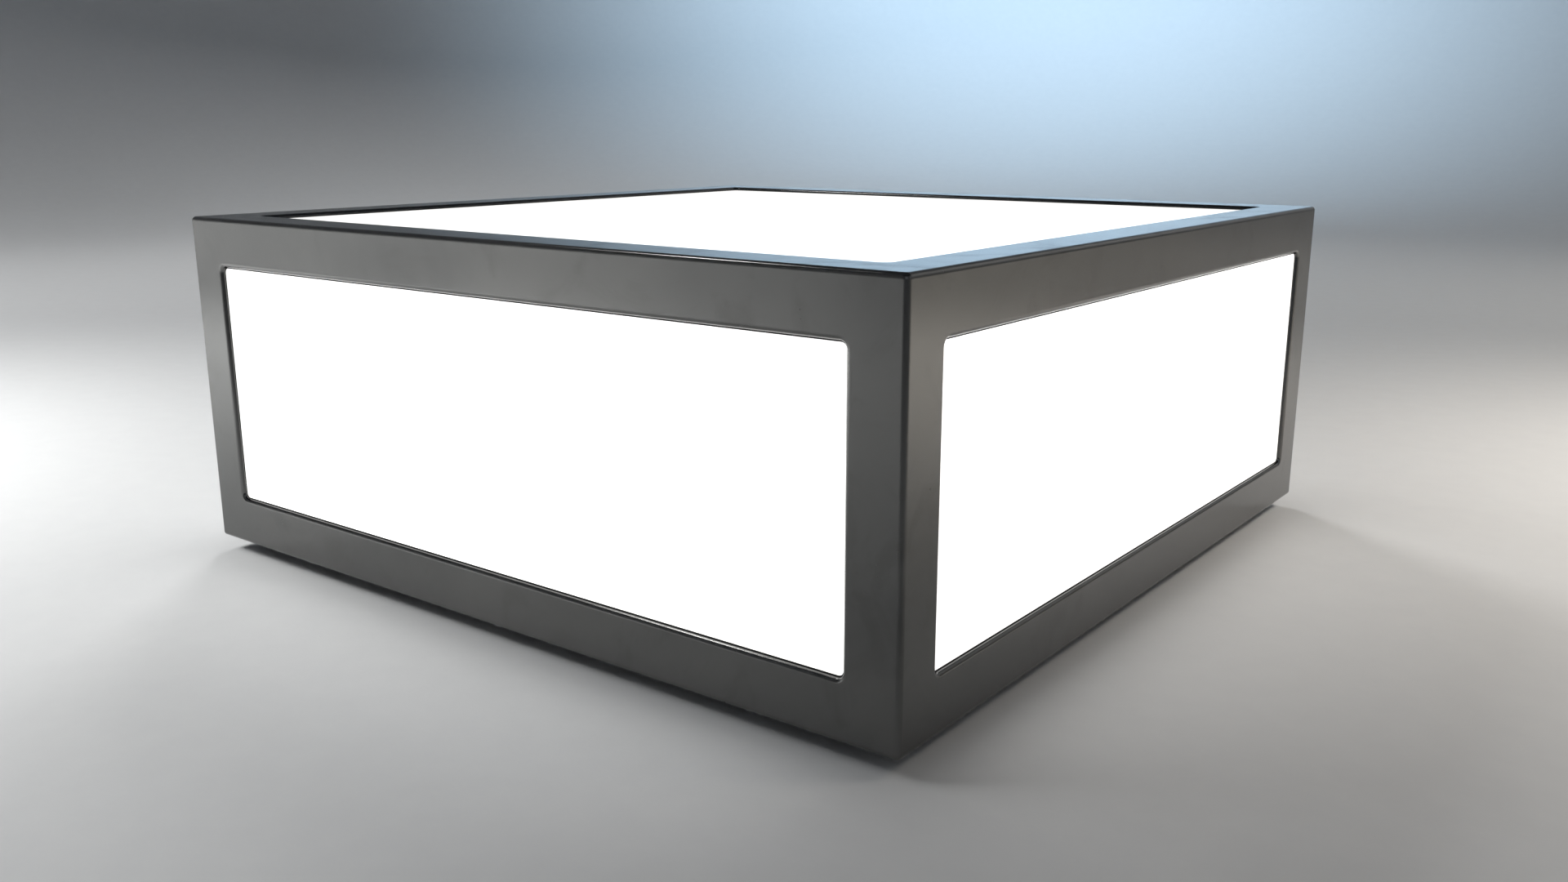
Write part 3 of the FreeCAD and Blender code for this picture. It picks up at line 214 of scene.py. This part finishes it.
def turned_steel(name, tint=(0.55, 0.55, 0.56), rough0=0.22):
    t = Tree(name)
    wear = t.ramp(t.noise(300.0, 4.0, 0.6), 0.45, 0.7)
    c = t.mix(wear, rgb(*tint), rgb(tint[0] * 0.7, tint[1] * 0.69, tint[2] * 0.67))
    rough = t.math("ADD", rough0, t.math("MULTIPLY", wear, 0.18))
    return t.principled(Base_Color=c, Metallic=1.0, Roughness=rough, Normal=t.bump(t.noise(1500.0, 2.0, 0.5), 0.1, 0.00005))


def brass(name):
    t = Tree(name)
    tarnish = t.ramp(t.noise(180.0, 4.0, 0.6), 0.42, 0.72)
    c = t.mix(tarnish, rgb(0.83, 0.62, 0.27), rgb(0.55, 0.37, 0.15))
    return t.principled(
        Base_Color=c, Metallic=1.0, Roughness=t.math("ADD", 0.2, t.math("MULTIPLY", tarnish, 0.2)),
        Normal=t.bump(t.noise(1200.0, 2.0, 0.5), 0.08, 0.00005),
    )


def moulded(name, tint, rough=0.42, grain=2400.0, depth=0.10, vary=0.12):
    """Spark-textured moulding with a slight sheen difference where it is handled."""
    t = Tree(name)
    patch = t.ramp(t.noise(40.0, 4.0, 0.6), 0.42, 0.68)
    c = t.mix(t.math("MULTIPLY", patch, vary * 3), rgb(*tint), rgb(*[min(1.0, v * 1.25 + 0.012) for v in tint]))
    r = t.math("ADD", rough, t.math("MULTIPLY", patch, vary))
    return t.principled(Base_Color=c, Roughness=r, IOR=1.47, Normal=t.bump(t.noise(grain, 2.0, 0.6), depth, 0.0001))


def foam(name):
    t = Tree(name)
    cells = t.voronoi(2600.0)
    c = t.mix(cells, rgb(0.018, 0.018, 0.018), rgb(0.055, 0.054, 0.052))
    return t.principled(Base_Color=c, Roughness=0.93, Normal=t.bump(cells, 0.5, 0.0003))


def rubber(name):
    t = Tree(name)
    bloom = t.ramp(t.noise(60.0, 5.0, 0.65), 0.45, 0.75)
    c = t.mix(t.math("MULTIPLY", bloom, 0.6), rgb(0.022, 0.022, 0.022), rgb(0.075, 0.073, 0.07))
    return t.principled(
        Base_Color=c, Roughness=t.math("ADD", 0.58, t.math("MULTIPLY", bloom, 0.2)), Normal=t.bump(t.noise(1400.0, 3.0, 0.7), 0.25, 0.0002)
    )


def powder(name, inside, outside=None, level=None):
    """Powder coat with its fine orange peel.  With a level, the face above it has the first
    colour and the face below the second."""
    t = Tree(name)
    peel = t.noise(1100.0, 2.0, 0.5)
    wide = t.ramp(t.noise(6.0, 5.0, 0.6), 0.4, 0.7)
    shade = lambda c: t.mix(t.math("MULTIPLY", wide, 0.5), rgb(*c), rgb(*[v * 0.88 for v in c]))
    c = shade(inside)
    if outside:
        c = t.mix(t.math("GREATER_THAN", t.axis(2), level), shade(outside), c)
    rough = t.math("ADD", 0.36, t.math("MULTIPLY", t.noise(70.0, 3.0, 0.6), 0.16))
    return t.principled(Base_Color=c, Roughness=rough, Normal=t.bump(peel, 0.35, 0.00025))


def circuit(name):
    """White solder mask over an aluminium board, with the pale relief of its tracks."""
    t = Tree(name)
    fine = t.noise(500.0, 2.0, 0.5)
    stripe = t.node("TexWave", wave_type="BANDS", bands_direction="DIAGONAL")
    stripe.inputs["Scale"].default_value = 60.0
    stripe.inputs["Distortion"].default_value = 0.0
    t.put(stripe.inputs["Vector"], t.co)
    track = t.ramp(stripe.outputs["Fac"], 0.82, 0.9)
    c = t.mix(t.math("MULTIPLY", track, 0.22), rgb(0.83, 0.845, 0.82), rgb(0.70, 0.73, 0.68))
    return t.principled(Base_Color=c, Roughness=t.math("ADD", 0.24, t.math("MULTIPLY", fine, 0.1)), Normal=t.bump(track, 0.25, 0.0001))


def phosphor(name):
    t = Tree(name)
    n = t.noise(2600.0, 3.0, 0.6)
    c = t.mix(n, rgb(0.95, 0.80, 0.26), rgb(0.98, 0.88, 0.45))
    return t.principled(Base_Color=c, Roughness=0.35, Emission_Color=rgb(1.0, 0.93, 0.80), Emission_Strength=t.math("ADD", 7.0, t.math("MULTIPLY", n, 2.0)))


def clear(name):
    t = Tree(name)
    swirl = t.noise(380.0, 2.0, 0.5)
    return t.principled(
        Base_Color=rgb(0.96, 0.97, 0.98), Roughness=t.math("ADD", 0.03, t.math("MULTIPLY", swirl, 0.05)), IOR=1.49,
        Transmission_Weight=0.92, Normal=t.bump(swirl, 0.04, 0.0001)
    )


def anodised(name):
    t = Tree(name)
    brush = t.noise(90.0, 4.0, 0.7, stretch=(0.4, 22.0, 22.0))
    c = t.mix(brush, rgb(0.60, 0.61, 0.63), rgb(0.74, 0.75, 0.77))
    return t.principled(Base_Color=c, Metallic=1.0, Roughness=t.math("ADD", 0.28, t.math("MULTIPLY", brush, 0.16)), Normal=t.bump(brush, 0.12, 0.0001))


OPAL_POWER = 1.0
SIDE_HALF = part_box("top_diffuser")[1].x + 0.0265
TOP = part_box("top_diffuser")[1].z + 0.003
M = {
    "frame": black_nickel("black_nickel"),
    "opal": opal("opal_acrylic"),
    "foam": foam("cell_foam"),
    "zinc": zinc("zinc_plate"),
    "steel_screw": turned_steel("plated_screw"),
    "latch": turned_steel("satin_chrome", (0.50, 0.50, 0.51), 0.16),
    "nylon": moulded("natural_nylon", (0.74, 0.72, 0.65), 0.38),
    "base_paint": powder("base_powder", (0.80, 0.80, 0.78), (0.055, 0.055, 0.058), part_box("base_plate")[1].z - 0.0002),
    "white_paint": powder("white_powder", (0.84, 0.84, 0.82)),
    "board": circuit("white_board"),
    "phosphor": phosphor("led_phosphor"),
    "lens": clear("clear_acrylic"),
    "driver_case": anodised("anodised_case"),
    "brass": brass("turned_brass"),
    "black_plastic": moulded("black_moulding", (0.016, 0.016, 0.017), 0.38),
    "rubber": rubber("foot_rubber"),
    "lead_skin": moulded("lead_pvc", (0.16, 0.075, 0.03), 0.36, 900.0, 0.05),
}
slot_of = {s["node"]: s["material_slot"] for s in frame["record"]["subparts"]}
for node, ob in NODES.items():
    ob.data.materials.clear()
    ob.data.materials.append(M[slot_of[node]])

# ------------------------------------------------------------------ inner leads and marks
def sleeve(name, tint, stripe=None):
    """PVC insulation: a soft gloss with a slight bloom, and a second colour in a band for earth."""
    t = Tree(name)
    bloom = t.ramp(t.noise(90.0, 4.0, 0.6), 0.42, 0.7)
    c = rgb(*tint)
    if stripe:
        band = t.node("TexWave", wave_type="BANDS", bands_direction="DIAGONAL")
        band.inputs["Scale"].default_value = 42.0
        t.put(band.inputs["Vector"], t.co)
        c = t.mix(t.ramp(band.outputs["Fac"], 0.48, 0.52), c, rgb(*stripe))
    c = t.mix(t.math("MULTIPLY", bloom, 0.18), c, rgb(0.42, 0.41, 0.39))
    rough = t.math("ADD", 0.30, t.math("MULTIPLY", bloom, 0.14))
    return t.principled(Base_Color=c, Roughness=rough, IOR=1.52, Normal=t.bump(t.noise(900.0, 2.0, 0.5), 0.06, 0.0001))


def lead(name, radius, mat, *route):
    cu = bpy.data.curves.new(name, "CURVE")
    cu.dimensions = "3D"
    cu.resolution_u = 10
    cu.bevel_depth = radius / 1000
    cu.bevel_resolution = 4
    cu.use_fill_caps = True
    sp = cu.splines.new("NURBS")
    sp.points.add(len(route) - 1)
    for p, at in zip(sp.points, route):
        p.co = (*[v / 1000 for v in at], 1.0)
    sp.order_u = 3
    sp.use_endpoint_u = True
    cu.materials.append(mat)
    ob = bpy.data.objects.new(name, cu)
    scene.collection.objects.link(ob)
    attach(ob, "housing")
    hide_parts("inner_leads")
    return ob


brown = sleeve("brown_sleeve", (0.115, 0.045, 0.018))
blue = sleeve("blue_sleeve", (0.020, 0.085, 0.36))
earth = sleeve("earth_sleeve", (0.045, 0.22, 0.055), (0.72, 0.60, 0.045))
red = sleeve("red_sleeve", (0.42, 0.022, 0.018))
black = sleeve("black_sleeve", (0.020, 0.020, 0.021))
lead("live_lead", 1.3, brown, (-270, 223, 23), (-258, 223, 23), (-248, 208, 22), (-247, 170, 22), (-252, 147, 24), (-262, 135, 25), (-275, 135, 25))
lead(
    "switched_lead", 1.3, brown, (-275, 125, 25), (-262, 125, 25), (-240, 114, 16), (-220, 104, 12), (-206, 94, 12), (-206, 60, 12),
    (-200, 30, 14), (-186, 4, 24), (-168, -2.8, 31), (-142, -2.8, 31), (-130, -6, 22), (-122, -10, 14.5), (-112, -10, 14.5),
)
lead(
    "neutral_lead", 1.3, blue, (-270, 237, 23), (-246, 237, 23), (-228, 220, 20), (-212, 190, 14), (-200, 164, 12), (-200, 60, 12),
    (-194, 34, 15), (-180, 8, 28), (-164, 0, 35.2), (-144, 0, 35.2), (-131, 3, 26), (-124, 4, 14.5), (-112, 4, 14.5),
)
lead(
    "earth_lead", 1.3, earth, (-270, 230, 27), (-238, 230, 27), (-218, 214, 22), (-202, 190, 14), (-194, 164, 12), (-194, 60, 12),
    (-186, 36, 14), (-174, 12, 26), (-160, 2.8, 31), (-144, 2.8, 31), (-137, 14, 27), (-141, 38, 17), (-142, 52, 15.8), (-133, 60, 16.3),
)
lead("led_lead_plus", 0.9, red, (75, 39, 26), (91, 39, 26), (112, 43, 40), (123.2, 45, 70), (123.2, 45, 103), (123.2, 36, 109), (123.2, 18, 105), (123.2, 7.5, 102.5))
lead("led_lead_minus", 0.9, black, (75, 53, 26), (91, 53, 26), (116, 48, 40), (126.8, 45, 70), (126.8, 45, 103), (126.8, 36, 109), (126.8, 18, 105), (126.8, 7.5, 102.5))


def mark(name, node, body, cells, mat, lift=0.00006):
    """A thin printed mark laid on a node's outward -X face: each cell is a ring of (y, z) corners."""
    tree = BVHTree.FromObject(NODES[node], bpy.context.evaluated_depsgraph_get())
    bm = bmesh.new()
    for ring in cells:
        for side in (ring,):
            top, foot = [], []
            for y, z in side:
                hit = tree.ray_cast(Vector((-0.34, y, z)), Vector((1, 0, 0)))[0]
                top.append(bm.verts.new((hit.x - lift, y, z)))
                foot.append(bm.verts.new((hit.x + lift, y, z)))
            n = len(top)
            bm.faces.new(top)
            bm.faces.new(foot[::-1])
            for i in range(n):
                bm.faces.new((top[i], foot[i], foot[(i + 1) % n], top[(i + 1) % n]))
    bmesh.ops.remove_doubles(bm, verts=bm.verts, dist=1e-7)
    bmesh.ops.recalc_face_normals(bm, faces=bm.faces)
    me = bpy.data.meshes.new(name)
    bm.to_mesh(me)
    bm.free()
    me.materials.append(mat)
    ob = bpy.data.objects.new(name, me)
    scene.collection.objects.link(ob)
    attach(ob, body)
    return ob


rocker_lo, rocker_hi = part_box("switch_rocker")
rz = (rocker_lo.z + rocker_hi.z) / 2
ry = (rocker_lo.y + rocker_hi.y) / 2
reach_y = (rocker_hi.y - rocker_lo.y) / 2
bar = [[(ry - 0.56 * reach_y - 0.0003 * k, rz + 0.0018 * j) for k, j in ((-1, -1), (1, -1), (1, -0.33), (1, 0.33), (1, 1), (-1, 1), (-1, 0.33), (-1, -0.33))]]
ring = []
for i in range(24):
    a, b = 2 * math.pi * i / 24, 2 * math.pi * (i + 1) / 24
    ring.append([(ry + 0.56 * reach_y + r * math.cos(q), rz + r * math.sin(q)) for r, q in ((0.0013, a), (0.0018, a), (0.0018, b), (0.0013, b))])
pale_ink = moulded("pale_ink", (0.70, 0.70, 0.68), 0.5, 1600.0, 0.05)
mark("rocker_mark_on", "switch_rocker", "switch_rocker", bar, pale_ink)
mark("rocker_mark_off", "switch_rocker", "switch_rocker", ring, pale_ink)

# ------------------------------------------------------------------ stage, light and camera
def area(name, at, aim, size, power, tint=(1, 1, 1), spread=180):
    lamp = bpy.data.lights.new(name, "AREA")
    lamp.shape = "RECTANGLE"
    lamp.size, lamp.size_y = size
    lamp.energy = power
    lamp.color = tint
    lamp.spread = math.radians(spread)
    ob = bpy.data.objects.new(name, lamp)
    ob.location = at
    ob.rotation_euler = (Vector(aim) - Vector(at)).to_track_quat("-Z", "Y").to_euler()
    ob.visible_glossy = False  # the plating mirrors the lit paper, not the lamps' own shapes
    scene.collection.objects.link(ob)
    return ob


def studio():
    """A pale floor that sweeps up into a wall all round, so there is no horizon line."""
    bm = bmesh.new()
    rings, n = [], 96
    profile = [(0.0, 0.0), (1.5, 0.0), (3.2, 0.0)]
    for k in range(1, 13):
        a = math.pi / 2 * k / 12
        profile.append((3.2 + 2.2 * math.sin(a), 2.2 - 2.2 * math.cos(a)))
    profile += [(5.4, 4.0), (5.4, 6.0)]
    for r, z in profile[1:]:
        rings.append([bm.verts.new((r * math.cos(2 * math.pi * i / n), r * math.sin(2 * math.pi * i / n), z)) for i in range(n)])
    bm.faces.new(rings[0])
    for a, b in zip(rings, rings[1:]):
        for i in range(n):
            bm.faces.new((a[i], a[(i + 1) % n], b[(i + 1) % n], b[i]))
    bmesh.ops.recalc_face_normals(bm, faces=bm.faces)
    if min(bm.faces, key=lambda f: abs(f.calc_center_median().z)).normal.z < 0:
        bmesh.ops.reverse_faces(bm, faces=bm.faces)
    me = bpy.data.meshes.new("studio_floor")
    bm.to_mesh(me)
    bm.free()
    for p in me.polygons:
        p.use_smooth = True
    ob = bpy.data.objects.new("studio_floor", me)
    scene.collection.objects.link(ob)
    t = Tree("studio_paper")
    grain = t.noise(40.0, 4.0, 0.6)
    c = t.mix(grain, rgb(0.56, 0.565, 0.575), rgb(0.60, 0.605, 0.61))
    me.materials.append(t.principled(Base_Color=c, Roughness=0.75, Normal=t.bump(t.noise(300.0, 3.0, 0.6), 0.05, 0.001)))
    return ob


def around(radius, azimuth, height):
    a = math.radians(azimuth)
    return (radius * math.cos(a), radius * math.sin(a), height)


studio()
world = bpy.data.worlds.new("studio_air")
world.use_nodes = True
world.node_tree.nodes["Background"].inputs["Color"].default_value = (0.80, 0.88, 1.0, 1.0)
world.node_tree.nodes["Background"].inputs["Strength"].default_value = 0.07
scene.world = world
area("key", around(3.0, 140, 2.5), (0, 0, 0.0), (1.0, 1.0), 56, (1.0, 0.99, 0.97))
area("backdrop_wash", around(3.4, 116, 2.4), around(5.4, 114, 0.5), (2.8, 0.8), 36, (0.56, 0.79, 1.0), 100)
area("wall_wash_right", around(3.0, 20, 2.6), around(5.4, 15, 2.6), (2.4, 1.2), 16, (0.93, 0.96, 1.0), 110)
area("wall_wash_front", around(3.0, 300, 2.8), around(5.4, 300, 2.8), (2.4, 1.2), 16, (0.93, 0.96, 1.0), 110)
area("wall_wash_back", around(3.0, 68, 2.8), around(5.4, 68, 2.6), (2.0, 1.2), 15, (1.0, 0.97, 0.92), 100)
edge = area("edge_light", (-1.9, -0.6, 2.65), (0.0, -0.3, 0.1), (0.3, 0.3), 2.2, (1.0, 1.0, 1.0), 120)
edge.visible_glossy = True
area("left_pool", (-2.7, -1.9, 2.7), (-2.7, -1.9, 0.0), (3.0, 2.8), 56, (1.0, 1.0, 0.985), 74)
area("left_key", (-1.7, -1.3, 1.5), (-0.95, -0.80, 0.0), (0.9, 0.9), 11, (1.0, 1.0, 0.98), 52)
area("right_pool", (2.3, 1.8, 2.3), (2.2, 1.7, 0.0), (2.4, 2.2), 19, (1.0, 0.90, 0.76), 84)
area("right_key", (1.5, 0.9, 1.4), (0.90, 0.60, 0.0), (0.8, 0.8), 5, (1.0, 0.92, 0.82), 52)

cam = bpy.data.cameras.new("camera")
cam.sensor_width = 36.0
cam.lens = 30.347
cam.clip_start, cam.clip_end = 0.02, 60.0
eye = bpy.data.objects.new("camera", cam)
eye.location = (0.611158, -0.795692, 0.310408)
eye.rotation_euler = [math.radians(v) for v in (76.4544, 0.0241, 37.5087)]
scene.collection.objects.link(eye)
scene.camera = eye

scene.view_settings.view_transform = "Standard"
scene.view_settings.look = "None"
scene.view_settings.exposure = 0.0
scene.view_settings.gamma = 1.0
